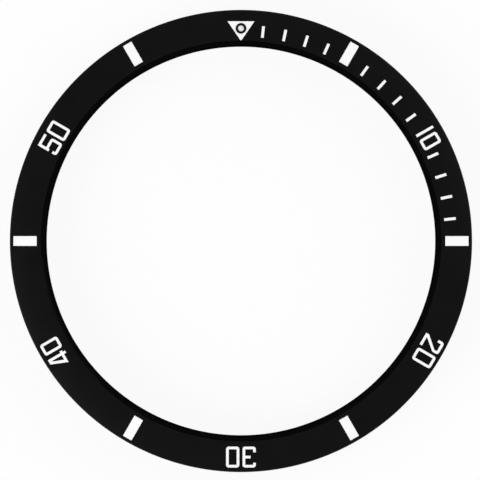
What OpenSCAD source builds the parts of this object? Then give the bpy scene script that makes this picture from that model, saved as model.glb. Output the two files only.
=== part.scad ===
// Rotating dive-watch bezel, built as the complete unit: a fixed collar with its
// click spring, a turning ring with its ratchet, and the black insert on top.
// Frame: +Z towards the viewer, 12 o'clock at +Y, 15 minutes at +X.
// The origin is on the turning axis, in the plane of the seat on the watch case.

/* [Insert] */
// Outer diameter of the black insert
insert_d = 40.0; // [34:0.5:44]
// Radial width of the insert, from its outer edge to the opening round the crystal
insert_w = 3.20; // [3.15:0.05:3.5]
// Height of the insert at its outer edge
insert_edge_h = 0.75; // [0.65:0.05:1.0]
// Slope of the top face, rising inwards, in degrees
top_slope = 7; // [4:0.5:9]
// Width of the dark chamfer round the opening
chamfer_w = 0.53; // [0.5:0.01:0.65]
// Drop of the dark chamfer
chamfer_drop = 0.50; // [0.3:0.05:0.6]
// Width of the small break on the outer edge
edge_break = 0.08; // [0.04:0.01:0.12]

/* [Marks] */
// Depth of the engraved marks and of the lume that fills them
mark_depth = 0.15; // [0.08:0.01:0.2]
// Gap from the chamfer to the inner end of the bars and ticks
mark_start = 0.32; // [0.1:0.01:0.4]
// Gap from the outer edge to the outer end of the five-minute bars
bar_inset = 0.28; // [0.15:0.01:0.5]
// Width of a five-minute bar
bar_w = 0.90; // [0.6:0.02:1.2]
// Width of a minute tick
tick_w = 0.30; // [0.2:0.02:0.4]
// Length of a minute tick
tick_len = 1.06; // [0.7:0.01:1.3]
// Gap from the outer edge to the base of the zero triangle
triangle_inset = 0.96; // [0.8:0.01:1.1]
// Width of the base of the zero triangle
triangle_w = 2.40; // [2.1:0.02:2.6]
// Width of the blunt tip of the zero triangle
triangle_tip = 0.10; // [0.04:0.01:0.2]
// Gap from the base of the zero triangle to the centre of the pearl
pearl_inset = 0.64; // [0.55:0.01:0.75]
// Stroke of the numerals
stroke = 0.29; // [0.22:0.01:0.34]
// Outer corner radius of the numerals
corner_r = 0.22; // [0.05:0.01:0.22]
// Width of a digit as a share of its height
digit_ratio = 0.645; // [0.6:0.005:0.68]
// Gap between the two digits of a numeral
digit_gap = 0.20; // [0.14:0.01:0.26]

/* [Pearl] */
// Outer diameter of the pearl's black cup
pearl_d = 0.88; // [0.75:0.01:0.95]
// Diameter of the white lume dot inside the cup
dot_d = 0.54; // [0.45:0.01:0.6]
// Height of the cup
cup_h = 0.50; // [0.4:0.02:0.6]
// Thickness of the cup's floor
cup_floor = 0.12; // [0.08:0.01:0.16]
// Height of the cup's rim above the insert
pearl_proud = 0.04; // [0.02:0.01:0.08]
// Depth of the lens below the cup's rim
lens_depth = 0.08; // [0.06:0.01:0.18]
// Height of the lens's dome above the cup's rim
dome_h = 0.05; // [0.03:0.01:0.08]

/* [Turning ring] */
// How far the insert stands out past the ring's grip
grip_setback = 0.10; // [0.05:0.05:0.3]
// Wall of the skirt outside the ratchet channel
skirt_wall = 0.70; // [0.55:0.05:0.75]
// Width of the channel that holds the ratchet
channel_w = 1.30; // [1.2:0.05:1.5]
// Wall between the ring's bore and the ratchet channel
inner_wall = 0.35; // [0.3:0.05:0.4]
// Height of the solid web above the ratchet channel
web_h = 1.30; // [1.26:0.02:1.6]
// Gap between the skirt and the plane of the watch case
skirt_lift = 0.12; // [0.05:0.01:0.3]
// Number of coin-edge notches
notch_count = 120; // [72:12:120]
// Radius of a coin-edge notch
notch_r = 0.30; // [0.2:0.02:0.4]
// Depth of a coin-edge notch
notch_depth = 0.20; // [0.1:0.02:0.3]
// Plain band above the notches
rim_h = 0.20; // [0.1:0.05:0.4]
// Chamfer on the ring's outer edges
ring_break = 0.08; // [0.04:0.01:0.12]
// Thickness of the adhesive under the insert
glue_t = 0.10; // [0.06:0.01:0.15]
// Width of the rims that hold the adhesive in
glue_rim = 0.20; // [0.15:0.05:0.3]

/* [Ratchet] */
// Number of ratchet teeth, one click each
tooth_count = 120; // [60:60:120]
// Height of a ratchet tooth
tooth_h = 0.20; // [0.14:0.01:0.22]
// Flat land on the tip of a ratchet tooth, at the inner side
tooth_land = 0.06; // [0.04:0.01:0.1]
// Thickness of the ratchet ring above its teeth
ratchet_t = 0.35; // [0.3:0.05:0.5]

/* [Collar] */
// Wall of the collar's neck, whose bore is pressed on the neck of the watch case
collar_wall = 0.45; // [0.4:0.05:0.6]
// Thickness of the collar's flange
flange_t = 0.45; // [0.35:0.05:0.6]
// Thickness of the glide ring that the turning ring runs on
glide_t = 0.30; // [0.2:0.05:0.4]

/* [Click spring] */
// Thickness of the spring ring and its tongues
spring_t = 0.15; // [0.12:0.01:0.18]
// Number of click tongues
tongue_count = 3; // [3]
// Length of a tongue along its arc
tongue_len = 3.5; // [3:0.1:4]
// Width of the rails beside a tongue
rail_w = 0.16; // [0.12:0.01:0.2]
// Free height between the spring ring and the ratchet teeth
click_room = 0.60; // [0.5:0.02:0.7]
// Turn from the middle between two tongues to a rivet, in degrees
rivet_turn = 22; // [10:1:40]
// Diameter of a rivet's shank
rivet_d = 0.40; // [0.3:0.02:0.5]
// Diameter of a rivet's head
rivet_head_d = 0.72; // [0.6:0.02:0.8]
// Height of a rivet's head
rivet_head_h = 0.12; // [0.08:0.01:0.16]

/* [Retaining wire and gasket] */
// Diameter of the snap wire
wire_d = 0.42; // [0.36:0.02:0.44]
// Split of the snap wire, in degrees
wire_split = 5; // [3:1:12]
// Diameter of the gasket's round section
gasket_d = 0.36; // [0.3:0.02:0.38]

/* [Clearances] */
// Radial running clearance between the turning ring and the collar
running_fit = 0.05; // [0.03:0.01:0.08]
// Clearance round the wire, the gasket and other seated pieces
seat_fit = 0.03; // [0.02:0.01:0.04]
// Gap beside moving tongues and between flange and skirt
side_gap = 0.08; // [0.06:0.01:0.1]
// Gap between the fixed collar and the insert above it
lift_gap = 0.15; // [0.1:0.01:0.2]

/* [Hidden] */
$fn = 96;
MINUTE = 6;
BARS = [5, 15, 25, 35, 45, 55];
// Each numeral: minute, sideways shift, gap from the chamfer to its foot, gap from its top to the edge
NUMERALS = [
    [10, 0.43, 0.33, 0.63],
    [20, 0.14, 0.50, 0.29],
    [30, 0.00, 0.43, 0.37],
    [40, -0.33, 0.57, 0.34],
    [50, -0.35, 0.19, 0.60],
];

// How far cutters run past what they cut
over = 1;

// Radii, from the insert's edge inwards
insert_r = insert_d / 2;
ring_r = insert_r - grip_setback;
channel_out = ring_r - skirt_wall;
channel_in = channel_out - channel_w;
ring_bore_r = channel_in - inner_wall;
collar_r = ring_bore_r - running_fit;
neck_r = collar_r - collar_wall;
flange_r = channel_out - side_gap;
glide_in = collar_r + seat_fit;
glide_out = channel_in - seat_fit;
spring_in = glide_out + seat_fit;
spring_out = flange_r - seat_fit;
window_in = spring_in + rail_w;
window_out = spring_out - rail_w;
tongue_in = window_in + side_gap;
tongue_out = window_out - side_gap;
spring_mid = (spring_in + spring_out) / 2;

// Heights, from the case upwards
glide_top = flange_t + glide_t;
spring_top = flange_t + spring_t;
tooth_tip_z = spring_top + click_room;
tooth_root_z = tooth_tip_z + tooth_h;
web_z = tooth_root_z + ratchet_t;
insert_z = web_z + web_h;
neck_top = insert_z - lift_gap;
wall_foot = glide_top + seat_fit;

// Retaining wire and gasket, both above the ratchet channel
wire_ring_r = (collar_r + ring_bore_r) / 2;
wire_groove_r = wire_d / 2 + seat_fit;
wire_z = web_z + wire_groove_r + seat_fit;
gasket_ring_r = collar_r + seat_fit + gasket_d / 2;
gasket_groove_h = gasket_d + 2 * seat_fit;
gasket_z = neck_top - seat_fit - gasket_groove_h / 2;

// Insert
opening_d = insert_d - 2 * insert_w;
opening_r = opening_d / 2;
peak_r = opening_r + chamfer_w;
mark_in = peak_r + mark_start;
function top_z(r) = insert_z + insert_edge_h + (insert_r - r) * tan(top_slope);

// Zero triangle, with the pearl in it
apex_clear = 0.02;
apex_r = peak_r + apex_clear;
base_r = insert_r - triangle_inset;
pearl_r = base_r - pearl_inset;

// The gap after a narrow 1, as a share of the gap between other digits
one_gap = 1.35;

// Click tongues: each tip stands just short of a tooth's upright face
tooth_pitch = 360 / tooth_count;
tip_play = 0.03;
root_gap = 0.02;
bead_r = spring_t / 2;
tongue_z = flange_t + bead_r;
tongue_turn = tongue_len / spring_mid * 180 / PI;
tip_turn = tip_play / spring_mid * 180 / PI;
root_turn = (bead_r + root_gap) / tongue_in * 180 / PI;
// Length of flange that carries a tongue's root, and the gap past its tip
root_seat = 0.19;
tip_gap = 0.19;
seat_turn = root_turn + root_seat / tongue_in * 180 / PI;
end_turn = tongue_turn + tip_gap / tongue_in * 180 / PI;
tip_reach = tongue_out * sin(tongue_turn);
tip_rise = tooth_root_z - seat_fit - tongue_z - bead_r;
tongue_rise = atan(tip_rise / tip_reach);
// A tip at the upright faces nearest to 3, 7 and 11 o'clock
function tongue_start(i) = -(i - 1) * 360 / tongue_count - tip_turn - tongue_turn;

// Flat shapes of the marks, drawn in the XY plane
function arc_points(centre, r, from, to, steps = 6) = [
    for (i = [0:steps])
        centre + r * [cos(from + (to - from) * i / steps), sin(from + (to - from) * i / steps)]
];

// A corner of a digit's outline, rounded to corner_r, at the given quarter turn
function round_corner(x, y, quarter) = arc_points(
    [x, y] - corner_r * [cos(45 + 90 * quarter), sin(45 + 90 * quarter)] * sqrt(2),
    corner_r, 90 * quarter, 90 * quarter + 90
);
function upper_right(x, y) = round_corner(x, y, 0);
function upper_left(x, y) = round_corner(x, y, 1);
function lower_left(x, y) = round_corner(x, y, 2);
function lower_right(x, y) = round_corner(x, y, 3);

module digit_0(w, h) {
    difference() {
        polygon(concat(lower_left(0, 0), lower_right(w, 0), upper_right(w, h), upper_left(0, h)));
        translate([stroke, stroke]) square([w - 2 * stroke, h - 2 * stroke]);
    }
}

module digit_1(h) {
    square([stroke, h]);
}

module digit_2(w, h) {
    hook = 0.67 * h;
    polygon(concat(
        [[0, 0], [w, 0], [w, stroke], [1.5 * stroke, stroke], [w, 0.66 * h]],
        upper_right(w, h), upper_left(0, h),
        [[0, hook], [stroke, hook], [stroke, h - stroke], [w - stroke, h - stroke]],
        [[w - stroke, 0.75 * h], [0, 0.19 * h]]
    ));
}

module digit_3(w, h) {
    hook = 0.27 * h;
    middle = (h - stroke) / 2;
    polygon(concat(
        lower_left(0, 0), lower_right(w, 0), upper_right(w, h), upper_left(0, h),
        [[0, h - hook], [stroke, h - hook], [stroke, h - stroke], [w - stroke, h - stroke]],
        [[w - stroke, middle + stroke], [0.39 * w, middle + stroke]],
        [[0.39 * w, middle], [w - stroke, middle]],
        [[w - stroke, stroke], [stroke, stroke], [stroke, hook], [0, hook]]
    ));
}

module digit_4(w, h) {
    stem = 0.62 * w;
    bar = 0.15 * h;
    difference() {
        polygon([
            [stem, 0], [stem + stroke, 0], [stem + stroke, bar], [w, bar], [w, bar + stroke],
            [stem + stroke, bar + stroke], [stem + stroke, h], [0.445 * w, h], [0, bar], [stem, bar],
        ]);
        polygon([[stem, 0.785 * h], [stem, bar + stroke], [0.34 * w, bar + stroke]]);
    }
}

module digit_5(w, h) {
    hook = 0.277 * h;
    waist = 0.477 * h;
    polygon(concat(
        lower_left(0, 0), lower_right(w, 0), upper_right(w, waist + stroke),
        [[stroke, waist + stroke], [stroke, h - stroke], [w, h - stroke], [w, h], [0, h]],
        [[0, 0.42 * h], [stroke, 0.42 * h], [stroke, waist], [w - stroke, waist]],
        [[w - stroke, stroke], [stroke, stroke], [stroke, hook], [0, hook]]
    ));
}

module numeral_shape(row) {
    tens = row[0] / 10;
    foot = peak_r + row[2];
    h = insert_r - row[3] - foot;
    w = digit_ratio * h;
    tens_w = tens == 1 ? stroke : w;
    gap = tens == 1 ? one_gap * digit_gap : digit_gap;
    full_w = tens_w + gap + w;
    rotate(-MINUTE * row[0]) translate([row[1] - full_w / 2, foot]) {
        if (tens == 1) digit_1(h);
        if (tens == 2) digit_2(w, h);
        if (tens == 3) digit_3(w, h);
        if (tens == 4) digit_4(w, h);
        if (tens == 5) digit_5(w, h);
        translate([tens_w + gap, 0]) digit_0(w, h);
    }
}

module bar_shape(minute) {
    bar_end = insert_r - bar_inset;
    rotate(-MINUTE * minute)
        translate([-bar_w / 2, mark_in]) square([bar_w, bar_end - mark_in]);
}

module tick_shape(minute) {
    rotate(-MINUTE * minute) translate([-tick_w / 2, mark_in]) square([tick_w, tick_len]);
}

module triangle_shape() {
    polygon([
        [-triangle_tip / 2, apex_r], [triangle_tip / 2, apex_r],
        [triangle_w / 2, base_r], [-triangle_w / 2, base_r],
    ]);
}

// The layer just below the insert's sloping top, up to a height above it
module mark_layer(above) {
    outer = insert_r - edge_break;
    rotate_extrude() polygon([
        [peak_r, top_z(peak_r) - mark_depth], [outer, top_z(outer) - mark_depth],
        [outer, top_z(outer) + above], [peak_r, top_z(peak_r) + above],
    ]);
}

module in_top(above = 0) {
    intersection() {
        mark_layer(above);
        translate([0, 0, insert_z])
            linear_extrude(height = top_z(opening_r) + over - insert_z) children();
    }
}

// The pearl stands square to the sloping top
module at_pearl() {
    translate([0, pearl_r, top_z(pearl_r)]) rotate([-top_slope, 0, 0]) children();
}

module pearl_seat() {
    at_pearl() translate([0, 0, pearl_proud - cup_h])
        cylinder(d = pearl_d + 2 * root_gap, h = cup_h + over);
}

module tongue_sweep(from, to) {
    rotate(from) rotate_extrude(angle = to) children();
}

module case_collar() color("silver") difference() {
    rotate_extrude() polygon([
        [neck_r, 0], [flange_r, 0], [flange_r, flange_t], [collar_r, flange_t],
        [collar_r, neck_top], [neck_r, neck_top],
    ]);
    rotate_extrude() translate([wire_ring_r, wire_z]) circle(r = wire_groove_r);
    for (i = [1:tongue_count]) {
        tongue_sweep(tongue_start(i) + seat_turn, end_turn - seat_turn)
            translate([window_in, -over]) square([window_out - window_in, flange_t + 2 * over]);
    }
    rivet_places() translate([0, 0, -over])
        cylinder(d = rivet_d + 2 * root_gap, h = flange_t + 2 * over);
}

module glide_ring() color("ivory") rotate_extrude()
    translate([glide_in, flange_t]) square([glide_out - glide_in, glide_t]);

module rivet_places() {
    for (i = [1:tongue_count], side = [-1, 1])
        rotate(tongue_start(i) + tongue_turn / 2 + 180 / tongue_count + side * rivet_turn)
            translate([spring_mid, 0, 0]) children();
}

module click_spring_ring() color("lightsteelblue") difference() {
    rotate_extrude() translate([spring_in, flange_t]) square([spring_out - spring_in, spring_t]);
    for (i = [1:tongue_count]) {
        tongue_sweep(tongue_start(i) - root_turn, end_turn + root_turn)
            translate([window_in, 0]) square([window_out - window_in, spring_top + over]);
    }
    rivet_places() cylinder(d = rivet_d + 2 * root_gap, h = spring_top + over);
}

module spring_rivets() color("gray") rivet_places() {
    translate([0, 0, root_gap]) cylinder(d = rivet_d, h = spring_top);
    translate([0, 0, spring_top]) cylinder(d1 = rivet_head_d, d2 = rivet_d, h = rivet_head_h);
}

module snap_wire() color("slategray")
    rotate(90 + wire_split / 2) rotate_extrude(angle = 360 - wire_split)
        translate([wire_ring_r, wire_z]) circle(d = wire_d);

// A sprung tongue: a round bead at its root, and a blade that rises to the teeth
module click_tongue(i) color("lightsteelblue") rotate(tongue_start(i)) {
    blade_w = tongue_out - tongue_in;
    intersection() {
        rotate_extrude(angle = tongue_turn)
            translate([tongue_in, 0]) square([blade_w, tooth_root_z]);
        translate([tongue_in - over, 0, tongue_z]) rotate([tongue_rise, 0, 0])
            translate([0, 0, -bead_r]) cube([blade_w + 2 * over, 2 * tongue_len, spring_t]);
    }
    translate([tongue_in, 0, tongue_z]) rotate([0, 90, 0]) cylinder(r = bead_r, h = blade_w);
}

module bezel_ring() color("lightgray") difference() {
    rotate_extrude() polygon([
        [ring_r - ring_break, skirt_lift], [ring_r, skirt_lift + ring_break],
        [ring_r, insert_z - ring_break], [ring_r - ring_break, insert_z],
        [ring_r - glue_rim, insert_z], [ring_r - glue_rim, insert_z - glue_t],
        [ring_bore_r + glue_rim, insert_z - glue_t], [ring_bore_r + glue_rim, insert_z],
        [ring_bore_r, insert_z], [ring_bore_r, wall_foot], [channel_in, wall_foot],
        [channel_in, web_z], [channel_out, web_z], [channel_out, skirt_lift],
    ]);
    rotate_extrude() translate([wire_ring_r, wire_z]) circle(r = wire_groove_r);
    rotate_extrude() translate([collar_r, gasket_z - gasket_groove_h / 2])
        square([2 * seat_fit + gasket_d, gasket_groove_h]);
    for (i = [0:notch_count - 1])
        rotate(i * 360 / notch_count)
            translate([ring_r + notch_r - notch_depth, 0, 0])
                cylinder(r = notch_r, h = insert_z - rim_h, $fn = 32);
}

// Saw teeth: the ramp lets the ring turn anticlockwise, the upright face locks it clockwise
module ratchet_ring() color("darkgray") difference() {
    ratchet_in = channel_in + seat_fit;
    ratchet_out = channel_out - seat_fit;
    gap_len = ratchet_in * tooth_pitch * PI / 180 - tooth_land;
    rotate_extrude() translate([ratchet_in, tooth_tip_z])
        square([ratchet_out - ratchet_in, tooth_h + ratchet_t]);
    for (i = [0:tooth_count - 1])
        rotate(i * tooth_pitch) translate([ratchet_in - over, 0, tooth_tip_z]) rotate([90, 0, 90])
            linear_extrude(height = ratchet_out - ratchet_in + 2 * over)
                polygon([[0, tooth_h], [-gap_len, 0], [-gap_len, -over], [0, -over]]);
}

module neck_gasket() color("dimgray") rotate_extrude()
    translate([gasket_ring_r, gasket_z]) circle(d = gasket_d);

module insert_adhesive() color("khaki") rotate_extrude()
    translate([ring_bore_r + glue_rim, insert_z - glue_t])
        square([ring_r - ring_bore_r - 2 * glue_rim, glue_t]);

module insert_blank() rotate_extrude() polygon([
    [opening_r, insert_z], [insert_r - edge_break, insert_z], [insert_r, insert_z + edge_break],
    [insert_r, top_z(insert_r) - edge_break], [insert_r - edge_break, top_z(insert_r - edge_break)],
    [peak_r, top_z(peak_r)], [opening_r, top_z(peak_r) - chamfer_drop],
]);

module insert() color([0.07, 0.07, 0.07]) difference() {
    insert_blank();
    in_top(over) {
        triangle_shape();
        for (row = NUMERALS) numeral_shape(row);
        for (minute = BARS) bar_shape(minute);
        for (minute = [1:14]) if (minute % 5 != 0) tick_shape(minute);
    }
    pearl_seat();
}

module zero_triangle() color("white") difference() {
    in_top() triangle_shape();
    pearl_seat();
}

module pearl_cup() color([0.05, 0.05, 0.05]) at_pearl() translate([0, 0, pearl_proud - cup_h])
    difference() {
        cylinder(d = pearl_d, h = cup_h);
        translate([0, 0, cup_floor]) cylinder(d = dot_d, h = cup_h);
    }

module pearl_lume() color("white") at_pearl() translate([0, 0, pearl_proud - cup_h + cup_floor])
    cylinder(d = dot_d, h = cup_h - cup_floor - lens_depth);

// The dome is a cap of a sphere over the cup's mouth
module pearl_lens() color("azure", 0.5) at_pearl() translate([0, 0, pearl_proud]) intersection() {
    dome_r = (dot_d * dot_d / 4 + dome_h * dome_h) / (2 * dome_h);
    translate([0, 0, -lens_depth]) cylinder(d = dot_d, h = lens_depth + dome_h);
    translate([0, 0, dome_h - dome_r]) sphere(r = dome_r);
}

module numeral(i) color("white") in_top() numeral_shape(NUMERALS[i]);
module bar(minute) color("white") in_top() bar_shape(minute);
module tick(minute) color("white") in_top() tick_shape(minute);

case_collar();
glide_ring();
click_spring_ring();
spring_rivets();
snap_wire();
click_tongue(1);  // click_tongue_1
click_tongue(2);  // click_tongue_2
click_tongue(3);  // click_tongue_3
bezel_ring();
ratchet_ring();
neck_gasket();
insert_adhesive();
insert();
zero_triangle();
pearl_cup();
pearl_lume();
pearl_lens();
numeral(0);  // numeral_10
numeral(1);  // numeral_20
numeral(2);  // numeral_30
numeral(3);  // numeral_40
numeral(4);  // numeral_50
bar(5);  // bar_05
bar(15);  // bar_15
bar(25);  // bar_25
bar(35);  // bar_35
bar(45);  // bar_45
bar(55);  // bar_55
tick(1);  // tick_01
tick(2);  // tick_02
tick(3);  // tick_03
tick(4);  // tick_04
tick(6);  // tick_06
tick(7);  // tick_07
tick(8);  // tick_08
tick(9);  // tick_09
tick(11);  // tick_11
tick(12);  // tick_12
tick(13);  // tick_13
tick(14);  // tick_14
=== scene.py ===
# %% [markdown]
# # The turning bezel of a diving watch
#
# The object is a complete turning bezel: a black insert with white minute marks, glued on a
# fluted steel ring that turns on a fixed collar. The engineering model of all its pieces is
# already made, and it is loaded first as a fixed frame. This script gives it its looks.
#
# The loaded pieces could be rendered as they are, but their edges are razor sharp and their
# round walls are cut into flats. So the insert with its marks, the turning ring and the collar
# are modelled again with soft edges, on the same measures. The pieces between them are nearly
# hidden, so they keep their loaded shape and only get a finish.

# %% Load the frame
import math

import bmesh
import bpy
from mathutils import Matrix, Vector


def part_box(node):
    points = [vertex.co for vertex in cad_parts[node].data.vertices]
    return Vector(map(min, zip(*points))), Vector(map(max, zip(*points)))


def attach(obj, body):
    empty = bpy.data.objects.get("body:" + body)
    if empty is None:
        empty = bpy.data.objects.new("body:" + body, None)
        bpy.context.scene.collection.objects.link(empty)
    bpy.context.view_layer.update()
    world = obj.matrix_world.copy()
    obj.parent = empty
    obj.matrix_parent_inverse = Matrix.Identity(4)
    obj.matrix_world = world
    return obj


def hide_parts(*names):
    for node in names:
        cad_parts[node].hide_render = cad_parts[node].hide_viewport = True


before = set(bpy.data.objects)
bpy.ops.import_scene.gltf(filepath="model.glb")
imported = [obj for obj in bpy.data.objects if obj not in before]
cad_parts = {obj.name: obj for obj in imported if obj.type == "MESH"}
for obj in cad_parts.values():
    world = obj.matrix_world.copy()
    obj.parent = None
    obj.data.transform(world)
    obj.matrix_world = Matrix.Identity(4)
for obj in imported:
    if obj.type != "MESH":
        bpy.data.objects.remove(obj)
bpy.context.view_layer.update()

# %% [markdown]
# ## Measures
#
# A bezel is a stack of thin rings, so nearly every measure is a radius or a height. They could
# be read off each loaded mesh, but a turned profile needs inner corners that no box shows.
# So the script repeats the drawing's measures in millimetres, and compares the main ones with
# the loaded pieces before it builds on them.

# %% Radii and heights, in millimetres
MM = 0.001
SLACK, NEAR = 0.02, 0.01                         # how close counts as equal, roughly and strictly
INSERT_R, OPENING_R, PEAK_R = 20.0, 16.8, 17.33  # edge, opening, and where the dark chamfer starts
RING_R, RING_BORE_R = 19.9, 17.55                # turning ring
CHANNEL_IN, CHANNEL_OUT = 17.9, 19.2             # the channel under it, for the ratchet
COLLAR_R, NECK_R, FLANGE_R = 17.5, 17.05, 19.12  # fixed collar
NECK_TOP, FLANGE_T = 2.90, 0.45
INSERT_Z, INSERT_EDGE_H, EDGE_BREAK = 3.05, 0.75, 0.08
SLOPE = math.tan(math.radians(7))                # the insert rises towards the opening
CHAMFER_DROP = 0.50
MARK_DEPTH = 0.15
FLUTE_DEPTH = 0.20                               # in the ring's grip


def top_z(r):
    """Height of the insert's sloping face at radius r."""
    return INSERT_Z + INSERT_EDGE_H + (INSERT_R - r) * SLOPE


for node, radius, height in [
    ("insert", INSERT_R, top_z(PEAK_R)), ("bezel_ring", RING_R, INSERT_Z),
    ("case_collar", FLANGE_R, NECK_TOP),
]:
    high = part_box(node)[1] / MM
    assert max(abs(high.x - radius), abs(high.z - height)) < SLACK, (node, high)
    print(f"{node}: radius {high.x:.2f} mm, top at {high.z:.2f} mm")

# %% [markdown]
# ## Writing materials as sums
#
# A finish is a small network of nodes. It could be wired by hand, node by node, but then a
# simple sum takes six lines. Here one class stands for a value in the network, so that sums
# can be typed as sums, and one method adds any other kind of node. The sky at the end is made
# with the same method.


# %% A value in a network
class Value:
    """A socket of a network. Sums on it add Math nodes."""

    def __init__(self, network, socket):
        self.network, self.socket = network, socket

    def math(self, operation, *others):
        """A Math node on this value and the others."""
        sockets = dict(enumerate((self, *others)))
        return self.network.node("ShaderNodeMath", {"operation": operation}, sockets)

    def __add__(self, other):
        return self.math("ADD", other)

    def __mul__(self, other):
        return self.math("MULTIPLY", other)

    def __sub__(self, other):
        return self.math("SUBTRACT", other)

    def __rsub__(self, other):
        return (self * -1) + other

    def __truediv__(self, other):
        return self.math("DIVIDE", other)

    def __gt__(self, other):
        return self.math("GREATER_THAN", other)

    __radd__, __rmul__ = __add__, __mul__


# %% A network
class Network:
    """The nodes of a material or of the sky, built from nothing."""

    def __init__(self, owner, output):
        owner.use_nodes = True
        self.owner, self.tree = owner, owner.node_tree
        self.tree.nodes.clear()
        self.out = self.tree.nodes.new(output)

    def node(self, kind, settings=None, sockets=None, out=0):
        """Adds a node: first its settings, then the values or links of its sockets."""
        made = self.tree.nodes.new(kind)
        for key, value in (settings or {}).items():
            if key == "stops":  # two, as many as a new ramp has
                for stop, (position, colour) in zip(made.color_ramp.elements, value):
                    stop.position, stop.color = position, colour
            else:
                setattr(made, key, value)
        for key, value in (sockets or {}).items():
            if isinstance(value, Value):
                self.tree.links.new(value.socket, made.inputs[key])
            else:
                made.inputs[key].default_value = value
        return Value(self, made.outputs[out])

    def done(self, shader):
        """Links the last node to the output, and returns the material or the sky."""
        self.tree.links.new(shader.socket, self.out.inputs["Surface"])
        print(self.owner.name, "has", len(self.tree.nodes), "nodes")
        return self.owner


# %% A material
class Finish(Network):
    """A material, with its Object coordinates in millimetres."""

    def __init__(self, name):
        super().__init__(bpy.data.materials.new(name), "ShaderNodeOutputMaterial")
        sockets = {0: self.node("ShaderNodeTexCoord", out="Object"), "Scale": 1 / MM}
        self.place = self.node("ShaderNodeVectorMath", {"operation": "SCALE"}, sockets)

    def xyz(self):
        """The three Object coordinates, in millimetres."""
        parts = self.node("ShaderNodeSeparateXYZ", sockets={0: self.place}).socket.node
        return [Value(self, parts.outputs[i]) for i in range(3)]

    def noise(self, vector, scale, detail=2.0, roughness=0.5, w=None):
        """Noise between 0 and 1 on a vector, and on a fourth coordinate if there is one."""
        sockets = {"Vector": vector, "Scale": scale, "Detail": detail, "Roughness": roughness}
        if w is not None:
            sockets["W"] = w
        settings = {"noise_dimensions": "3D" if w is None else "4D"}
        return self.node("ShaderNodeTexNoise", settings, sockets)

    def between(self, factor, low, high):
        """A value that goes from low to high as the factor goes from 0 to 1."""
        return factor * (high - low) + low

    def colour(self, factor, low, high):
        """A colour between two greys, colours or sockets."""
        low, high = [c if isinstance(c, Value) else rgba(c) for c in (low, high)]
        # The Mix node's colours are its inputs 6 and 7, and its output 2.
        return self.node("ShaderNodeMix", {"data_type": "RGBA"}, {0: factor, 6: low, 7: high}, out=2)

    def bump(self, height, depth):
        """A normal roughened by a height, of that depth in millimetres."""
        return self.node("ShaderNodeBump", sockets={"Height": height, "Distance": depth * MM})

    def surface(self, **sockets):
        """A Principled surface."""
        names = {key.replace("_", " "): value for key, value in sockets.items()}
        return self.node("ShaderNodeBsdfPrincipled", sockets=names)


def rgba(colour):
    """A colour of three parts, or a grey, as the four numbers that a socket takes."""
    return (colour,) * 3 + (1,) if isinstance(colour, (int, float)) else (*colour, 1)


# %% [markdown]
# ## Steel: turned rings and rolled spring
#
# Most of the steel here comes off a lathe, so its marks run round the axis: they change fast
# along the radius and the height, and hardly at all round the ring. The snap wire is drawn, and
# its marks run the same way. An image of brushed metal could be wrapped round a ring, but noise
# on the radius and the height does the same at any size. The direction from the axis goes in
# with a small weight, so that no line runs all the way round, and without the seam that an
# angle would have. Fine lines alone melt into one grey from a step away, so a coarser noise
# makes some bands of them brighter and others duller.
#
# The grip has a second finish. Only the lands between its flutes are polished, and they are painted
# lighter, a painted sheen. The flutes grow duller to their bottom, and darker there with painted
# shade. The distance from the axis tells how deep in a flute a point lies, and everything further
# in counts as plain turned wall.


# %% Turned steel
NOWHERE = 99.0                                   # a radius past every piece, for steel with no grip


def turned_steel(name, tone, rough, lines, land_r=NOWHERE, flute_depth=1.0):
    """Steel with fine turning marks, so many to the millimetre, with polished lands painted lighter as
    sheen and flutes painted darker as shade.
    """
    f = Finish(name)
    x, y, z = f.xyz()
    r = (x * x + y * y).math("SQRT")

    def rings(per_mm, round_the_ring):
        """Lines that run round the axis, so many to the millimetre."""
        across = {0: r * per_mm, 1: x / r * round_the_ring, 2: y / r * round_the_ring}
        vector = f.node("ShaderNodeCombineXYZ", sockets=across)
        return f.noise(vector, 1.0, detail=3.0, w=z * per_mm)

    def tint(low, high):
        """The steel's tone, from one share of it to another as the wear grows."""
        return f.colour(wear, [c * low for c in tone], [c * high for c in tone])

    marks, bands = rings(lines, 3.0), rings(lines / 6, 5.0)
    smudges = f.noise(f.place, 0.35, detail=3.0)
    dust = f.noise(f.place, 9.0)
    wear = marks * 0.45 + bands * 0.35 + smudges * 0.20
    floor_r = land_r - flute_depth
    # polished lands: lower roughness, and a lighter colour that is painted sheen
    polish_and_sheen = r > land_r - SLACK
    # painted shade: darker, and duller, towards the bottom of each flute
    painted_flute_shade = (r > floor_r - SLACK) * (1 - (r - floor_r) / flute_depth).math("MAXIMUM", 0.0)
    # the second tint is painted shade for the flutes, and the third a painted sheen, lighter than the
    # steel, for the lands
    turned_tint, painted_shade_tint, painted_sheen_tint = tint(0.42, 0.98), tint(0.20, 0.42), tint(0.72, 1.20)
    return f.done(f.surface(
        Base_Color=f.colour(polish_and_sheen, f.colour(painted_flute_shade, turned_tint, painted_shade_tint), painted_sheen_tint),
        Metallic=1.0,
        Roughness=f.between(marks, rough - 0.06, rough + 0.08) - polish_and_sheen * (rough - 0.16)
        + painted_flute_shade * 0.12 + (smudges - 0.5) * 0.12 + (dust - 0.5) * 0.06,
        Normal=f.bump(marks, 0.0025),
    ))


ring_steel = turned_steel("ring steel", (0.60, 0.595, 0.58), rough=0.32, lines=14,
                          land_r=RING_R, flute_depth=FLUTE_DEPTH)
collar_steel = turned_steel("collar steel", (0.66, 0.66, 0.65), rough=0.30, lines=10)
ratchet_steel = turned_steel("ratchet steel", (0.62, 0.62, 0.61), rough=0.36, lines=8)
wire_steel = turned_steel("wire steel", (0.74, 0.74, 0.74), rough=0.24, lines=12)


# %% [markdown]
# The click spring and its tongues are cut from rolled sheet. Rolling leaves straight streaks,
# and the hardening oven leaves a faint straw tint, stronger in some places than in others.


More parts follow.
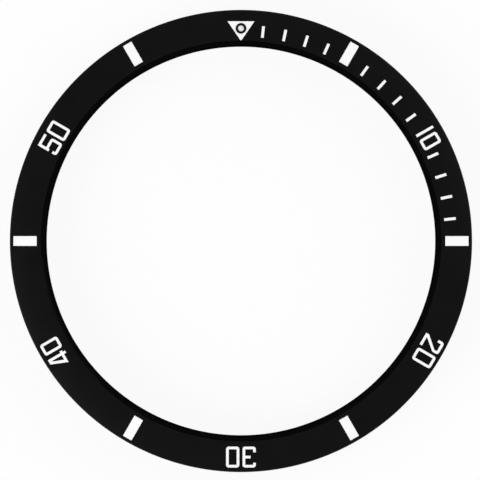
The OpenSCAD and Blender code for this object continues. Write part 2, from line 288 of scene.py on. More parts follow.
# %% Rolled spring steel
def rolled_steel():
    """Sheet steel with rolling streaks along X and a straw tint."""
    f = Finish("spring steel")
    along_x = {0: f.place, 1: (0.6, 22.0, 22.0)}
    stretched = f.node("ShaderNodeVectorMath", {"operation": "MULTIPLY"}, along_x)
    streaks = f.noise(stretched, 1.0)
    tint = f.noise(f.place, 0.5)
    return f.done(f.surface(
        Base_Color=f.colour(tint, (0.58, 0.565, 0.53), (0.55, 0.50, 0.42)),
        Metallic=1.0,
        Roughness=f.between(streaks, 0.26, 0.40),
        Normal=f.bump(streaks, 0.0010),
    ))


spring_steel = rolled_steel()
rivet_steel = turned_steel("rivet steel", (0.60, 0.60, 0.60), rough=0.28, lines=20)

# %% [markdown]
# ## The black insert
#
# The face in the photograph is an even black that takes hardly any light, and the chamfer
# round the opening is polished and looks darker still. Two pieces would be simple, but on the
# real thing this is one piece with two finishes. So the material tells them apart by the
# distance from the axis and the height, and mixes two shaders. The satin face has a fine
# blasted grain and a few clouds in its gloss. The polished band has only the faintest waviness.

# %% Satin and polished black
SATIN_FOOT = INSERT_Z + 0.30                     # the satin stops at this height on the outer wall


def insert_black():
    """Black in two finishes, satin from the chamfer outwards and polished elsewhere."""
    f = Finish("insert black")
    x, y, z = f.xyz()
    r = (x * x + y * y).math("SQRT")
    face = (r > PEAK_R) * (z > SATIN_FOOT)
    blasted = f.noise(f.place, 42.0, detail=3.0, roughness=0.6)
    clouds = f.noise(f.place, 0.45, detail=3.0)
    satin = f.surface(
        Base_Color=f.colour((blasted - 0.5) * 2.5 + clouds * 0.4 + 0.3, 0.0004, 0.0042),
        Roughness=f.between(blasted, 0.30, 0.42) + (clouds - 0.5) * 0.12,
        Specular_IOR_Level=0.10,
        Normal=f.bump(blasted, 0.0016),
    )
    polished = f.surface(
        Base_Color=f.colour(clouds, 0.0003, 0.0007),
        Roughness=f.between(clouds, 0.08, 0.16),
        Specular_IOR_Level=0.02,
        Normal=f.bump(clouds, 0.010),
    )
    return f.done(f.node("ShaderNodeMixShader", sockets={0: face, 1: polished, 2: satin}))


insert_finish = insert_black()


# %% [markdown]
# ## Luminous paint, and the pearl's cup and lens
#
# The white of the marks is a luminous pigment in clear binder: chalky, faintly grainy, and not
# quite even. A plain white would look like paper. Fine noise gives it its grain as bump and as
# a slight change of tone. The cup is blackened metal, and the lens is a tiny acrylic dome. A
# glass shader would keep the light off the paint below it, because a path tracer rarely finds
# the way through a lens this small. So the lens is clear, with a gloss on its outer side that
# grows at its edge.


# %% Luminous white
def lume_white():
    """Chalky white with a fine grain."""
    f = Finish("luminous white")
    grains = f.noise(f.place, 30.0, detail=3.0, roughness=0.65)
    patches = f.noise(f.place, 1.4)
    tone = (grains - 0.5) * 2 + patches * 0.4 + 0.4
    return f.done(f.surface(
        Base_Color=f.colour(tone, (0.935, 0.94, 0.93), (0.99, 0.99, 0.985)),
        Roughness=f.between(grains, 0.62, 0.80),
        Specular_IOR_Level=0.2,
        Normal=f.bump(grains, 0.004),
    ))


def cup_black():
    """Blackened metal."""
    f = Finish("cup black")
    grain = f.noise(f.place, 26.0, detail=3.0)
    return f.done(f.surface(
        Base_Color=f.colour(grain, 0.0012, 0.0030),
        Roughness=f.between(grain, 0.28, 0.42),
        Specular_IOR_Level=0.08,
        Normal=f.bump(grain, 0.002),
    ))


def lens_clear():
    """Clear acrylic, with gloss on its outer side."""
    f = Finish("lens clear")
    haze = f.noise(f.place, 12.0)
    clear = f.node("ShaderNodeBsdfTransparent")
    gloss = f.surface(
        Base_Color=f.colour(haze, 0.90, 0.96),
        Roughness=f.between(haze, 0.02, 0.06),
        Specular_IOR_Level=0.5,
    )
    facing = f.node("ShaderNodeLayerWeight", sockets={"Blend": 0.5}, out="Facing")
    outside = 1 - f.node("ShaderNodeNewGeometry", out="Backfacing")
    # A clear dome mirrors little where it faces the eye, and a lot where it turns away.
    shine = outside * (facing.math("POWER", 5.0) * 0.9 + 0.015)
    return f.done(f.node("ShaderNodeMixShader", sockets={0: shine, 1: clear, 2: gloss}))


lume_finish, cup_finish, lens_finish = lume_white(), cup_black(), lens_clear()


# %% [markdown]
# ## Soft parts: gasket, glide ring and glue
#
# None of these shows from outside, but they do in a cut or exploded view. The gasket is black
# rubber with a moulded bloom, the glide ring is a waxy bearing plastic, and the adhesive is an
# amber film.


# %% Rubber, plastic and glue
def soft_finish(name, dark, light, rough, scale, depth):
    """A dull finish with grain of that scale and depth."""
    f = Finish(name)
    grain = f.noise(f.place, scale, detail=3.0)
    bloom = f.noise(f.place, scale * 0.06)
    return f.done(f.surface(
        Base_Color=f.colour(grain * 0.5 + bloom * 0.5, dark, light),
        Roughness=f.between(bloom, rough - 0.08, rough + 0.08),
        Specular_IOR_Level=0.3,
        Normal=f.bump(grain, depth),
    ))


gasket_rubber = soft_finish("gasket rubber", 0.010, 0.024, rough=0.62, scale=24.0, depth=0.003)
glide_plastic = soft_finish("glide plastic", (0.72, 0.70, 0.62), (0.80, 0.78, 0.71),
                            rough=0.48, scale=16.0, depth=0.002)
film_glue = soft_finish("film glue", (0.48, 0.34, 0.14), (0.62, 0.47, 0.22),
                        rough=0.35, scale=8.0, depth=0.002)

# %% [markdown]
# The pieces that keep their loaded shape take their finish in their own material slots. Their
# meshes aren't touched.

# %% Finishes of the loaded pieces
for node, finish in {
    "glide_ring": glide_plastic, "click_spring_ring": spring_steel, "spring_rivets": rivet_steel,
    "snap_wire": wire_steel, "click_tongue_1": spring_steel, "click_tongue_2": spring_steel,
    "click_tongue_3": spring_steel, "ratchet_ring": ratchet_steel, "neck_gasket": gasket_rubber,
    "insert_adhesive": film_glue,
}.items():
    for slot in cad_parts[node].material_slots:
        slot.material = finish
    print(node, "gets", finish.name)

# %% [markdown]
# ## From a working mesh to a finished piece
#
# All shapes below are drawn in millimetres, because some fill and bevel operators lose their
# footing at a scale of a hundredth of a millimetre to the metre. One function then merges the
# seams, turns the faces outwards, checks that the volume is positive, scales the mesh to metres,
# sets which edges stay crisp, and hands the piece over to the body that it rides on.

# %% Finish a piece
CRISP, SEAM = math.radians(28), 2e-4             # sharp edges from this angle, and the merging distance


def piece(name, bm, finish, body, slot, *nodes):
    """Makes an object of a working mesh in millimetres, and puts it in the place of CAD nodes."""
    bmesh.ops.remove_doubles(bm, verts=bm.verts, dist=SEAM)
    bmesh.ops.recalc_face_normals(bm, faces=bm.faces)
    volume = bm.calc_volume(signed=True)
    assert volume > 0, f"{name} is inside out"
    bmesh.ops.scale(bm, verts=bm.verts, vec=(MM, MM, MM))
    mesh = bpy.data.meshes.new(name)
    bm.to_mesh(mesh)
    bm.free()
    mesh.shade_smooth()
    mesh.set_sharp_from_angle(angle=CRISP)
    mesh.materials.append(finish)
    made = bpy.data.objects.new(name, mesh)
    bpy.context.scene.collection.objects.link(made)
    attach(made, body)
    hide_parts(*nodes)
    print(f"{name}: {len(mesh.polygons)} faces, {volume:.3f} cubic millimetres")


# %% [markdown]
# ## Turning on the lathe
#
# The ring and the pearl's three pieces are turned. Stacked cylinders could stand in for them,
# but a lathe works from a profile, and so does the spin operator. The profile starts as one
# flat face, so that its corners can be bevelled the way a tool breaks them, and only its outline
# is then swept round the axis. Where a profile touches the axis, its corners stay sharp and its
# edge on the axis goes, so that the sweep closes in a single point there.


# %% Profile and spin
def on_axis(*verts):
    """Whether a profile's points all lie on the axis."""
    return all(v.co.x < SEAM for v in verts)


def profile_edges(bm, points, rounded):
    """An outline in the XZ plane, with its corners rounded, and open on the axis."""
    bm.faces.new([bm.verts.new((r, 0, z)) for r, z in points])
    if rounded:
        corners = [v for v in bm.verts if not on_axis(v)]
        bmesh.ops.bevel(bm, geom=corners, offset=rounded, offset_type="OFFSET", segments=2,
                        profile=0.5, affect="VERTICES", material=-1, clamp_overlap=True)
    bmesh.ops.delete(bm, geom=list(bm.faces), context="FACES_ONLY")
    bmesh.ops.delete(bm, geom=[e for e in bm.edges if on_axis(*e.verts)], context="EDGES")
    return list(bm.edges)


def turned(points, steps, rounded=0.0):
    """A solid of revolution about Z, from a closed profile of radii and heights."""
    bm = bmesh.new()
    edges = profile_edges(bm, points, rounded)
    bmesh.ops.spin(bm, geom=edges + list(bm.verts), cent=(0, 0, 0), axis=(0, 0, 1), dvec=(0, 0, 0),
                   angle=2 * math.pi, steps=steps, use_merge=True, use_duplicate=False)
    return bm


def arc(centre, radius, start, end, steps):
    """Points along a circle's arc, from start to end in degrees."""
    turns = [math.radians(start + (end - start) * i / steps) for i in range(steps + 1)]
    return [(centre[0] + radius * math.cos(t), centre[1] + radius * math.sin(t)) for t in turns]


# %% [markdown]
# ## The turning ring and its coin edge
#
# The grip is a coin edge: 120 shallow flutes, one for each click, cut by a round cutter that
# stops short of the upper rim. Boolean cuts would leave a ragged mesh. Instead the profile is
# spun in ten columns to a flute, and the columns are then shifted to the flute's edges and
# pushed in to the depth of the cutter at that angle. The wall has a doubled row where the
# cutter stops, and only the rows below it move, which leaves the ledge.

# %% The ring's profile
WIRE_AT, WIRE_GROOVE = (17.525, 2.02), 0.24     # middle and radius of the groove for the snap wire
GASKET_LOW, GASKET_HIGH, GASKET_BED = 2.45, 2.87, 17.92
SKIRT_Z, WEB_Z, WALL_FOOT = 0.12, 1.75, 0.78
FLUTE_TOP, LEDGE, RING_BREAK = 2.85, 0.002, 0.08  # LEDGE: the height between the doubled rows
GLUE_RIM, GLUE_T = 0.20, 0.10


def wire_groove(wall_r, side):
    """The arc that the wire's groove cuts in a wall: downwards in the ring, side 1, and upwards in
    the collar, side -1."""
    half = math.degrees(math.acos((wall_r - WIRE_AT[0]) * side / WIRE_GROOVE))
    middle = 0 if side > 0 else 180
    return arc(WIRE_AT, WIRE_GROOVE, middle + half, middle - half, steps=10)


ring_profile = [
    (RING_R - RING_BREAK, SKIRT_Z), (RING_R, SKIRT_Z + RING_BREAK), (RING_R, FLUTE_TOP - LEDGE),
    (RING_R, FLUTE_TOP), (RING_R, INSERT_Z - RING_BREAK), (RING_R - RING_BREAK, INSERT_Z),
    (RING_R - GLUE_RIM, INSERT_Z), (RING_R - GLUE_RIM, INSERT_Z - GLUE_T),
    (RING_BORE_R + GLUE_RIM, INSERT_Z - GLUE_T), (RING_BORE_R + GLUE_RIM, INSERT_Z),
    (RING_BORE_R, INSERT_Z), (RING_BORE_R, GASKET_HIGH), (GASKET_BED, GASKET_HIGH),
    (GASKET_BED, GASKET_LOW), (RING_BORE_R, GASKET_LOW), *wire_groove(RING_BORE_R, 1),
    (RING_BORE_R, WALL_FOOT), (CHANNEL_IN, WALL_FOOT), (CHANNEL_IN, WEB_Z), (CHANNEL_OUT, WEB_Z),
    (CHANNEL_OUT, SKIRT_Z),
]

# %% Cut the flutes
FLUTES, CUTTER_R = 120, 0.30
CUTTER_AT = RING_R + CUTTER_R - FLUTE_DEPTH     # the distance of the cutter's middle from the axis
COLUMNS = [-0.86, -0.78, -0.60, -0.30, 0.0, 0.30, 0.60, 0.78, 0.86, 1.50]  # degrees in one flute
MIDDLE = COLUMNS.index(0.0)


def flute_wall_r(turn):
    """Radius of the flute's wall, that many degrees from its middle."""
    t = math.radians(turn)
    aside = CUTTER_AT * math.sin(t)
    if abs(aside) > CUTTER_R:
        return RING_R
    return min(RING_R, CUTTER_AT * math.cos(t) - math.sqrt(CUTTER_R ** 2 - aside ** 2))


ring = turned(ring_profile, FLUTES * len(COLUMNS))
pitch = 360 / FLUTES
for v in ring.verts:
    r, turn = math.hypot(v.co.x, v.co.y), math.degrees(math.atan2(v.co.y, v.co.x))
    column = round(turn / pitch * len(COLUMNS))
    flute, place = divmod(column + MIDDLE, len(COLUMNS))
    turn = flute * pitch + COLUMNS[place]
    if r > RING_R - RING_BREAK - NEAR and v.co.z < FLUTE_TOP - LEDGE / 2:
        r = min(r, flute_wall_r(COLUMNS[place]))
    v.co.x, v.co.y = r * math.cos(math.radians(turn)), r * math.sin(math.radians(turn))
piece("bezel_ring_turned", ring, ring_steel, "bezel", "ring_steel", "bezel_ring")


# %% [markdown]
# ## Flat work: filling between outlines
#
# The insert's face, its pockets and the collar's flange are flat shapes with holes in them.
# Each hole is drawn as an outline of a few points, rounded where a cutter would leave a
# radius. The fill operator then makes the sheet between the outlines, and extruding an
# outline's edges raises its wall. A clean sheet like this can be bevelled, which a boolean's
# long slivers can't.


# %% Outlines
def rounded_outline(points, corners, radius):
    """An outline in the XY plane, with those corners rounded, as a list of points."""
    bm = bmesh.new()
    verts = [bm.verts.new((x, y, 0)) for x, y in points]
    bm.faces.new(verts)
    bmesh.ops.bevel(bm, geom=[verts[i] for i in corners], offset=radius, offset_type="OFFSET",
                    segments=5, profile=0.5, affect="VERTICES", material=-1, clamp_overlap=True)
    bm.faces.ensure_lookup_table()
    found = [tuple(loop.vert.co.xy) for loop in bm.faces[0].loops]
    bm.free()
    return found


def turn_points(points, degrees):
    """Points turned anticlockwise about the axis."""
    c, s = math.cos(math.radians(degrees)), math.sin(math.radians(degrees))
    return [(x * c - y * s, x * s + y * c) for x, y in points]


def draw(bm, points):
    """A closed outline of edges in the XY plane."""
    verts = [bm.verts.new((x, y, 0)) for x, y in points]
    return [bm.edges.new((a, b)) for a, b in zip(verts, verts[1:] + verts[:1])]


def circle(bm, radius, steps, z=0.0, centre=(0, 0)):
    """A circle of edges at a height."""
    move = Matrix.Translation((*centre, z))
    made = bmesh.ops.create_circle(bm, cap_ends=False, radius=radius, segments=steps, matrix=move)
    return list(dict.fromkeys(e for v in made["verts"] for e in v.link_edges))


def fill(bm, edges):
    """The flat sheet between outlines, with inner ones left open."""
    made = bmesh.ops.triangle_fill(
        bm, use_beauty=True, use_dissolve=False, edges=edges, normal=(0, 0, 1),
    )
    return [f for f in made["geom"] if isinstance(f, bmesh.types.BMFace)]


def wall(bm, edges, rise, scale=1.0):
    """Extrudes outlines, and lifts and scales the new edges, which it returns."""
    made = bmesh.ops.extrude_edge_only(bm, edges=edges)["geom"]
    verts = [v for v in made if isinstance(v, bmesh.types.BMVert)]
    bmesh.ops.scale(bm, verts=verts, vec=(scale, scale, 1))
    bmesh.ops.translate(bm, verts=verts, vec=(0, 0, rise))
    return [e for e in made if isinstance(e, bmesh.types.BMEdge)]


def walls_through(bm, edges, path):
    """Draws a round wall on through radii and heights, and returns its last edges."""
    for (r, z), (r_next, z_next) in zip(path, path[1:]):
        edges = wall(bm, edges, z_next - z, r_next / r)
    return edges


BROKEN_W = 0.02                                 # width of the bevel on a broken edge


def break_edges(bm, chosen):
    """Bevels the sharp outer edges that a test picks, and returns how many there are."""
    bmesh.ops.recalc_face_normals(bm, faces=bm.faces)
    sharp = [
        e for e in bm.edges
        if len(e.link_faces) == 2 and e.is_convex and e.calc_face_angle(0) > CRISP and chosen(e)
    ]
    bmesh.ops.bevel(bm, geom=sharp, offset=BROKEN_W, offset_type="OFFSET", segments=2, profile=0.5,
                    affect="EDGES", material=-1, clamp_overlap=False)
    return len(sharp)


# %% [markdown]
# ## The marks
#
# The scale is a triangle at zero, single-minute ticks for the first quarter of an hour, bars
# at the odd fives and numerals at the tens. A font could write the numerals, but these have
# the squared, stroke-built shape of an engraver's stencil, so each digit is an outline of a
# few points in its own box, with its outer corners rounded. The narrow corner of the 4's hole
# is rounded too, because an even rim round a sharp one would run far past it. Every mark is
# drawn upright above the axis and turned to its minute.

# %% Sizes of the marks
MINUTE = 6                                       # degrees
STROKE, CORNER, DIGIT_RATIO = 0.29, 0.25, 0.645  # a digit's stroke, rounding, and width to height
HOLE_CORNER = 0.06                               # the rounding in the hole of the 4
MARK_IN, BAR_END, BAR_W, TICK_W, TICK_LEN = 17.65, 19.72, 0.90, 0.30, 1.06
APEX_R, BASE_R, TIP_W, BASE_W = 17.35, 19.04, 0.12, 2.45  # the triangle at zero
PEARL_R = 18.40
NUMERALS = {  # minute: sideways shift, foot, top, and the gap between its digits
    10: (0.426, 17.65, 19.38, 0.27), 20: (0.143, 17.82, 19.71, 0.195),
    30: (0.003, 17.76, 19.63, 0.22), 40: (-0.325, 17.90, 19.66, 0.20),
    50: (-0.337, 17.51, 19.40, 0.18),
}


# %% The digits, each as its outline and its holes
def digit_0(w, h):
    s = STROKE
    return [rounded_outline([(0, 0), (w, 0), (w, h), (0, h)], range(4), CORNER),
            [(s, s), (w - s, s), (w - s, h - s), (s, h - s)]]


def digit_1(w, h):
    return [[(0, 0), (STROKE, 0), (STROKE, h), (0, h)]]


def digit_2(w, h):
    s = STROKE
    return [rounded_outline([
        (0, 0), (0.985 * w, 0), (0.985 * w, s), (0.305 * w, s), (w, 0.685 * h), (w, h), (0, h),
        (0, 0.66 * h), (s, 0.66 * h), (s, h - s), (w - s, h - s), (w - s, 0.73 * h), (0, 0.175 * h),
    ], (5, 6), CORNER)]


def digit_3(w, h):
    s, high, low, middle = STROKE, 0.745 * h, 0.295 * h, (h - STROKE) / 2
    return [rounded_outline([
        (0, 0), (w, 0), (w, h), (0, h), (0, high), (s, high), (s, h - s), (w - s, h - s),
        (w - s, middle + s), (0.375 * w, middle + s), (0.375 * w, middle), (w - s, middle),
        (w - s, s), (s, s), (s, low), (0, low),
    ], range(4), CORNER)]


def digit_4(w, h):
    s, stem, bar = STROKE, 0.63 * w, 0.125 * h
    return [[(stem, 0), (stem + s, 0), (stem + s, bar), (1.015 * w, bar), (1.015 * w, bar + s),
             (stem + s, bar + s), (stem + s, h), (0.47 * w, h), (-0.08 * w, bar), (stem, bar)],
            rounded_outline([(stem, 0.82 * h), (stem, bar + s), (0.315 * w, bar + s)],
                            (0,), HOLE_CORNER)]


def digit_5(w, h):
    s, hook, waist = STROKE, 0.267 * h, 0.47 * h
    return [rounded_outline([
        (0, 0), (w, 0), (w, waist + s), (s, waist + s), (s, h - s), (w, h - s), (w, h), (0, h),
        (0, 0.407 * h), (s, 0.407 * h), (s, waist), (w - s, waist), (w - s, s), (s, s), (s, hook),
        (0, hook),
    ], range(3), CORNER)]


DIGITS = [digit_0, digit_1, digit_2, digit_3, digit_4, digit_5]


# %% Lay the marks out round the scale
def numeral(minute):
    """The outlines of a numeral's two digits, upright above the axis."""
    shift, foot, top, gap = NUMERALS[minute]
    tens, h = minute // 10, top - foot
    w = DIGIT_RATIO * h
    tens_w = STROKE if tens == 1 else w
    left = shift - (tens_w + gap + w) / 2
    return [
        [(x + start, y + foot) for x, y in loop]
        for start, digit in ((left, tens), (left + tens_w + gap, 0))
        for loop in DIGITS[digit](w, h)
    ]


def block(width, low, high):
    """The outline of a bar or tick, upright above the axis."""
    return [[(-width / 2, low), (width / 2, low), (width / 2, high), (-width / 2, high)]]


MARKS = {"zero_triangle": [[
    (-TIP_W / 2, APEX_R), (TIP_W / 2, APEX_R), (BASE_W / 2, BASE_R), (-BASE_W / 2, BASE_R),
]]}
for minute in range(1, 60):
    if minute in NUMERALS:
        name, loops = f"numeral_{minute}", numeral(minute)
    elif minute % 10 == 5:
        name, loops = f"bar_{minute:02d}", block(BAR_W, MARK_IN, BAR_END)
    elif minute < 15:
        name, loops = f"tick_{minute:02d}", block(TICK_W, MARK_IN, MARK_IN + TICK_LEN)
    else:
        continue
    MARKS[name] = [turn_points(loop, -MINUTE * minute) for loop in loops]
print(len(MARKS), "marks:", ", ".join(sorted(MARKS)))

# %% [markdown]
# ## The insert
#
# The blank is a cone so flat that the face can be made as a flat sheet first: two circles with
# the marks' outlines between them, filled in one go. Inside each outline a narrow rim slopes
# down, as an engraving cutter leaves it, and the pocket is sunk from there. Then every point is
# lifted to the cone's height at its distance from the axis, the outer and inner walls are drawn
# down from the two circles, and the underside is bridged. A last bevel breaks the body's edges.

# %% The rim of a pocket
RIM_W, RIM_DEPTH = 0.030, 0.02


def mouth(bm, edges):
    """Slopes a narrow rim down inside outlines, and returns the lower outlines' edges."""
    sheet = fill(bm, edges)
    bmesh.ops.inset_region(
        bm, faces=sheet, thickness=RIM_W, depth=0, use_even_offset=True, use_boundary=True,
    )
    chosen = set(sheet)
    inner = [e for f in sheet for e in f.edges if sum(g in chosen for g in e.link_faces) == 1]
    bmesh.ops.delete(bm, geom=sheet, context="FACES")
    for v in {v for e in inner for v in e.verts}:
        v.co.z -= RIM_DEPTH
    return inner


# %% Face and pockets, still flat
ROUND, SMALL_ROUND = 720, 64                    # steps of the large circles, and of the pearl's
SEAT_R, SEAT_DEPTH = 0.46, 0.46                 # the hole for the pearl's cup
TOP_EDGE_R = INSERT_R - EDGE_BREAK
insert = bmesh.new()
outer = circle(insert, TOP_EDGE_R, ROUND)
inner = circle(insert, PEAK_R, ROUND)
rims = [e for loops in MARKS.values() for loop in loops for e in draw(insert, loop)]
sheet = fill(insert, outer + inner + rims)
feet = wall(insert, mouth(insert, rims), rise=RIM_DEPTH - MARK_DEPTH)
seat = circle(insert, SEAT_R, SMALL_ROUND, -MARK_DEPTH, (0, PEARL_R))
floors = fill(insert, feet + seat)
fill(insert, wall(insert, seat, rise=MARK_DEPTH - SEAT_DEPTH))
print("triangles in the face:", len(sheet), "and in the pockets' floors:", len(floors))

# %% Lift to the cone, and close the body
for v in insert.verts:
    v.co.z += top_z(v.co.xy.length)
outer = walls_through(insert, outer, [
    (TOP_EDGE_R, top_z(TOP_EDGE_R)), (INSERT_R, top_z(INSERT_R) - EDGE_BREAK),
    (INSERT_R, INSERT_Z + EDGE_BREAK), (TOP_EDGE_R, INSERT_Z),
])
inner = walls_through(insert, inner, [
    (PEAK_R, top_z(PEAK_R)), (OPENING_R, top_z(PEAK_R) - CHAMFER_DROP), (OPENING_R, INSERT_Z),
])
bmesh.ops.bridge_loops(insert, edges=outer + inner)
bmesh.ops.remove_doubles(insert, verts=insert.verts, dist=SEAM)


def on_body(e):
    """Whether an edge is one of the body's own, and not a mark's."""
    r = e.verts[0].co.xy.length
    return r < OPENING_R + NEAR or abs(r - PEAK_R) < NEAR or r > TOP_EDGE_R - NEAR


print("edges broken:", break_edges(insert, on_body))
piece("insert_blank", insert, insert_finish, "bezel", "insert_black", "insert")

# %% [markdown]
# ## The white fills
#
# Luminous paint is laid into the pockets with a syringe. It meets the wall at the foot of the
# sloping rim and stands slightly higher in the middle. So each fill is a plate with the outline
# that the rim has at its foot, and its top is inset and raised by about a hundredth of a
# millimetre. The one in the triangle leaves a round hole for the pearl.

# %% Fill each pocket
CROWN, CROWN_IN = 0.012, 0.045                  # how high the middle stands, and how far in it starts
for name, loops in MARKS.items():
    bm = bmesh.new()
    edges = mouth(bm, [e for loop in loops for e in draw(bm, loop)])
    bmesh.ops.delete(bm, geom=list(bm.faces), context="FACES_ONLY")
    kept = set(edges)
    bmesh.ops.delete(bm, geom=[e for e in bm.edges if e not in kept], context="EDGES")
    if name == "zero_triangle":
        edges += circle(bm, SEAT_R, SMALL_ROUND, -RIM_DEPTH, (0, PEARL_R))
    top = fill(bm, edges)
    fill(bm, wall(bm, edges, rise=RIM_DEPTH - MARK_DEPTH))
    bmesh.ops.inset_region(bm, faces=top, thickness=CROWN_IN, depth=0, use_even_offset=True)
    for v in {v for f in top for v in f.verts}:
        v.co.z += CROWN
    for v in bm.verts:
        v.co.z += top_z(v.co.xy.length)
    piece(name + "_fill", bm, lume_finish, "bezel", "lume_white", name)

# %% [markdown]
# ## The pearl
#
# The pearl is three turned pieces in one another: a black cup set through the triangle, a disc
# of luminous paint and a clear lens over it. They stand square to the sloping face, so each is
# turned upright at the origin and then tilted by the slope and set in its place.

# %% Cup, paint and lens
CUP_R, DOT_R, CUP_H, CUP_FLOOR = 0.44, 0.27, 0.50, 0.12
PROUD, LENS_DEPTH, DOME_H = 0.04, 0.08, 0.05    # PROUD: how far the cup's rim is above the face
TILT = Matrix.Rotation(-math.atan(SLOPE), 4, "X")
TO_PEARL = Matrix.Translation((0, PEARL_R, top_z(PEARL_R))) @ TILT
cup_low = PROUD - CUP_H
lume_top = PROUD - LENS_DEPTH


def pearl_piece(name, points, finish, slot, node, rounded):
    """Turns a piece upright, and then sets it in its place."""
    bm = turned(points, SMALL_ROUND, rounded)
    bmesh.ops.transform(bm, matrix=TO_PEARL, verts=bm.verts)
    piece(name, bm, finish, "bezel", slot, node)


pearl_piece("pearl_cup_turned", [
    (0, cup_low), (CUP_R, cup_low), (CUP_R, PROUD), (DOT_R, PROUD), (DOT_R, cup_low + CUP_FLOOR),
    (0, cup_low + CUP_FLOOR),
], cup_finish, "cup_black", "pearl_cup", rounded=0.015)
pearl_piece("pearl_lume_disc", [
    (0, cup_low + CUP_FLOOR), (DOT_R, cup_low + CUP_FLOOR), (DOT_R, lume_top), (0, lume_top),
], lume_finish, "lume_white", "pearl_lume", rounded=0.01)
CEMENT = 0.003                                  # a film round the lens, which keeps it off the paint
LENS_R = DOT_R - CEMENT
dome_r = (LENS_R ** 2 + DOME_H ** 2) / (2 * DOME_H)
half_angle = math.degrees(math.asin(LENS_R / dome_r))
dome = arc((0, PROUD + DOME_H - dome_r), dome_r, 90 - half_angle, 90, steps=8)
pearl_piece("pearl_lens_dome", [(0, lume_top + CEMENT), (LENS_R, lume_top + CEMENT), *dome],
            lens_finish, "lens_clear", "pearl_lens", rounded=0)

# %% [markdown]
# ## The collar
#
# The collar stays still, and carries all the rest. It is an L-shaped ring pressed on the watch
# case, and the click spring lies on its flange. Three windows under the tongues let them dip,
# and six holes take the rivets. The flange is filled between its outlines like the insert's
# face, at its lower side and again at its upper side, and the neck's wall is drawn up from the
# upper side's inner circle.

# %% Flange outlines
WINDOW_IN, WINDOW_OUT = 18.06, 18.93
SPRING_MID, TONGUE_TURN = 18.495, 10.8427       # the spring's middle radius, and a tongue's degrees
THIRD = 120                                     # degrees from one tongue to the next
TONGUE_STARTS = [-10.9356 - THIRD * i for i in range(3)]
SEAT_TURN, END_TURN = 0.9001, 11.4429           # degrees from a tongue's start to its window's ends
RIVET_TURN, RIVET_HOLE_R = 22, 0.22             # degrees from the middle between two tongues


def window(start, end):
    """The outline of the opening that a tongue dips into."""
    inner_side = arc((0, 0), WINDOW_IN, end, start, steps=10)
    return inner_side + arc((0, 0), WINDOW_OUT, start, end, steps=10)


windows = [window(s + SEAT_TURN, s + END_TURN) for s in TONGUE_STARTS]
middles = [s + (TONGUE_TURN + THIRD) / 2 for s in TONGUE_STARTS]
rivets = [middle + side * RIVET_TURN for middle in middles for side in (-1, 1)]
print(len(windows), "windows and", len(rivets), "rivet holes")

# %% Flange and neck
collar = bmesh.new()
holes = [e for loop in windows for e in draw(collar, loop)]
for centre in [turn_points([(SPRING_MID, 0)], turn)[0] for turn in rivets]:
    holes += circle(collar, RIVET_HOLE_R, steps=24, centre=centre)
rim, bore = circle(collar, FLANGE_R, ROUND), circle(collar, NECK_R, ROUND)
fill(collar, rim + bore + holes)
holes, rim = wall(collar, holes, rise=FLANGE_T), wall(collar, rim, rise=FLANGE_T)
foot = circle(collar, COLLAR_R, ROUND, FLANGE_T)
fill(collar, rim + foot + holes)
neck = walls_through(collar, foot, [
    (COLLAR_R, FLANGE_T), *wire_groove(COLLAR_R, -1), (COLLAR_R, NECK_TOP), (NECK_R, NECK_TOP),
])
bmesh.ops.bridge_loops(collar, edges=neck + bore)
bmesh.ops.remove_doubles(collar, verts=collar.verts, dist=SEAM)
print("edges broken:", break_edges(collar, lambda e: True))
piece("case_collar_turned", collar, collar_steel, "collar", "collar_steel", "case_collar")

# %% [markdown]
# ## Table, sky and lamps
#
# The photograph has a pure white ground and no shadow. A white floor lit as brightly as that
# would burn out the marks as well. So what the camera and shiny pieces see of the floor is
# mostly its own white, and the rest of it is the lit surface, which keeps a faint shadow.
# Seen from below, the floor is clear. The sky is white at the horizon and darker overhead,
# because a black face seen from above mirrors the zenith.


# %% The floor
FLOOR_R, FLOOR_GAP = 1.2, 0.02 * MM             # metres; the gap keeps the floor off the collar
OWN_WHITE = 0.88                                # the share of its own white in what the camera sees


def floor_white():
    """Its own white for the eye, and a lit surface for the rest of the light."""
    f = Finish("floor white")
    rays = f.node("ShaderNodeLightPath").socket.node
    seen = Value(f, rays.outputs["Is Camera Ray"])
    for ray in ("Is Glossy Ray", "Is Transmission Ray"):
        seen = seen.math("MAXIMUM", Value(f, rays.outputs[ray]))
    paper = f.noise(f.place, 1.5)
    lit = f.node("ShaderNodeBsdfDiffuse", sockets={"Color": f.colour(paper, 0.94, 0.96)})
    white = f.node("ShaderNodeEmission", sockets={"Color": rgba(1.0), "Strength": 1.0})
    above = f.node("ShaderNodeMixShader", sockets={0: seen * OWN_WHITE, 1: lit, 2: white})
    back = f.node("ShaderNodeNewGeometry", out="Backfacing")
    clear = f.node("ShaderNodeBsdfTransparent")
    return f.done(f.node("ShaderNodeMixShader", sockets={0: back, 1: above, 2: clear}))


floor_mesh = bmesh.new()
bmesh.ops.create_circle(floor_mesh, cap_ends=True, radius=FLOOR_R, segments=96)
bmesh.ops.translate(floor_mesh, verts=floor_mesh.verts, vec=(0, 0, -FLOOR_GAP))
floor_data = bpy.data.meshes.new("floor")
floor_mesh.to_mesh(floor_data)
floor_mesh.free()
floor_data.materials.append(floor_white())
floor = bpy.data.objects.new("floor", floor_data)
bpy.context.scene.collection.objects.link(floor)

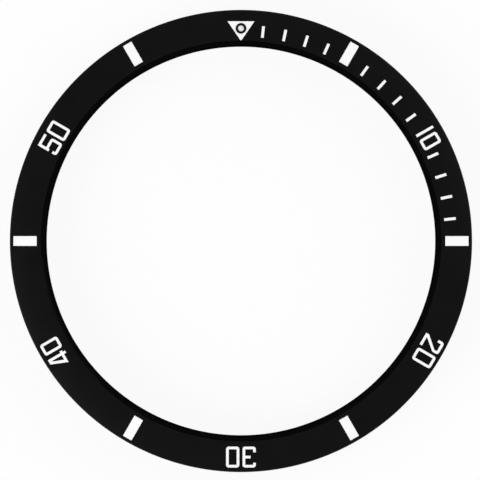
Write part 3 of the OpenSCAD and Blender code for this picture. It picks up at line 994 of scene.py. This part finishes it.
# %% The sky
SKY_STOPS = [(0.10, rgba(1.0)), (0.85, rgba(0.50))]  # how high, and how bright it is there
sky = Network(bpy.data.worlds.new("studio"), "ShaderNodeOutputWorld")
direction = sky.node("ShaderNodeTexCoord", out="Generated")
height = sky.node("ShaderNodeSeparateXYZ", sockets={0: direction}, out="Z")
shade = sky.node("ShaderNodeValToRGB", {"stops": SKY_STOPS}, {0: height})
bpy.context.scene.world = sky.done(sky.node("ShaderNodeBackground", sockets={"Color": shade}))

# %% [markdown]
# Two soft boxes stand low enough at either side that the sloping black face doesn't mirror
# them into the camera, and draw long highlights along the steel in a view from the side.


# %% Lamps
LAMP_AWAY = 0.5                                 # metres from the object


def soft_box(name, azimuth, elevation, size, power):
    """A square lamp that faces the object from a direction in degrees."""
    lamp = bpy.data.lights.new(name, "AREA")
    lamp.shape, lamp.size, lamp.energy = "SQUARE", size, power
    a, e = math.radians(azimuth), math.radians(elevation)
    towards = Vector((math.sin(a) * math.cos(e), -math.cos(a) * math.cos(e), math.sin(e)))
    box = bpy.data.objects.new(name, lamp)
    box.location = towards * LAMP_AWAY
    box.rotation_euler = towards.to_track_quat("Z", "Y").to_euler()
    bpy.context.scene.collection.objects.link(box)
    print(f"{name}: {power} W, {size} m wide")


soft_box("key box", azimuth=-60, elevation=38, size=0.30, power=1.0)
soft_box("fill box", azimuth=115, elevation=32, size=0.36, power=0.77)

# %% [markdown]
# ## The camera
#
# The photograph is taken straight down the axis from far off: the opening shows no inner
# wall at all. A long lens would come close to that, and a parallel projection is the same
# thing without a trace of perspective. Its width and its small offset put the ring on the
# same pixels as in the photograph, whose frame is 480 by 480.

# %% Camera
FRAME_W = 41.53                                 # width of the frame, in millimetres
FRAME_X, FRAME_Y = -0.0844, 0.0865              # its middle, in millimetres from the axis
CAMERA_UP = 0.2                                 # metres
lens = bpy.data.cameras.new("camera")
lens.type, lens.ortho_scale = "ORTHO", FRAME_W * MM
camera = bpy.data.objects.new("camera", lens)
camera.location = (FRAME_X * MM, FRAME_Y * MM, CAMERA_UP)
bpy.context.scene.collection.objects.link(camera)
bpy.context.scene.camera = camera
bpy.context.scene.view_settings.view_transform = "Standard"
print("the frame is", FRAME_W, "mm wide, round", (FRAME_X, FRAME_Y))
